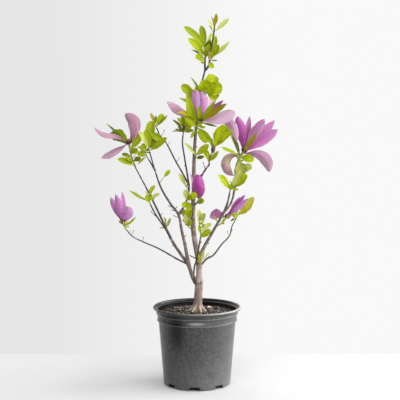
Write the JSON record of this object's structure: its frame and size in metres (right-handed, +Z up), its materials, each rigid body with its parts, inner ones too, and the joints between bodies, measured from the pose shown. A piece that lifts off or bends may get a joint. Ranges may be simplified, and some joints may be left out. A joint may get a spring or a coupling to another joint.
{
  "type": "potted magnolia tree",
  "caption": "Young magnolia tree with open pink flowers, closed buds and fresh green leaves on bare forking limbs, standing in a round nursery pot of soil.",
  "frame": {"origin": "centre of the flat underside of the pot", "axes": "+Z up the tree, -Y towards the viewer, +X to the right seen from the front"},
  "size_m": [0.4777, 0.3156, 0.9553],
  "materials": {
    "pot_plastic": "charcoal moulded polypropylene with a soft grey sheen",
    "potting_mix": "damp bark chips with pale specks",
    "bark": "grey-brown bark with ring scars",
    "twig_bark": "dark brown smooth twig bark",
    "foliage": "fresh yellow-green leaf with a soft gloss",
    "blossom": "pink petal, paler at the edge and deeper at the base"
  },
  "bodies": {
    "root": {"pot": "pot_plastic", "soil": "potting_mix", "trunk": "bark", "left_bough": "bark", "right_bough": "bark", "mid_left_bough": "bark", "low_left_branch": "bark", "low_right_branch": "bark", "right_upper_branch": "bark", "upright_branch": "twig_bark", "upper_left_branch": "twig_bark", "inner_right_branch": "twig_bark", "rear_branch": "twig_bark", "side_twig": "twig_bark", "mid_left_twig": "twig_bark", "centre_twig": "twig_bark", "cross_twig": "twig_bark", "top_leaves": "foliage", "crown_leaves_right": "foliage", "crown_leaves_left": "foliage", "upright_leaves": "foliage", "upper_left_leaves": "foliage", "mid_left_leaves": "foliage", "mid_left_low_leaves": "foliage", "mid_left_leaf": "foliage", "side_twig_leaves": "foliage", "left_bough_leaves": "foliage", "trunk_sprout_leaves": "foliage", "inner_leaves": "foliage", "inner_left_leaf": "foliage", "centre_twig_leaves": "foliage", "inner_right_leaves": "foliage", "right_bough_leaves": "foliage", "low_right_leaves": "foliage", "trunk_tuft": "foliage", "leader_leaves": "foliage", "rear_leaves": "foliage", "centre_bloom": "blossom", "left_bloom": "blossom", "centre_bud": "blossom", "right_bloom": "blossom", "lower_right_bloom": "blossom", "low_left_bloom": "blossom"}
  },
  "joints": []
}
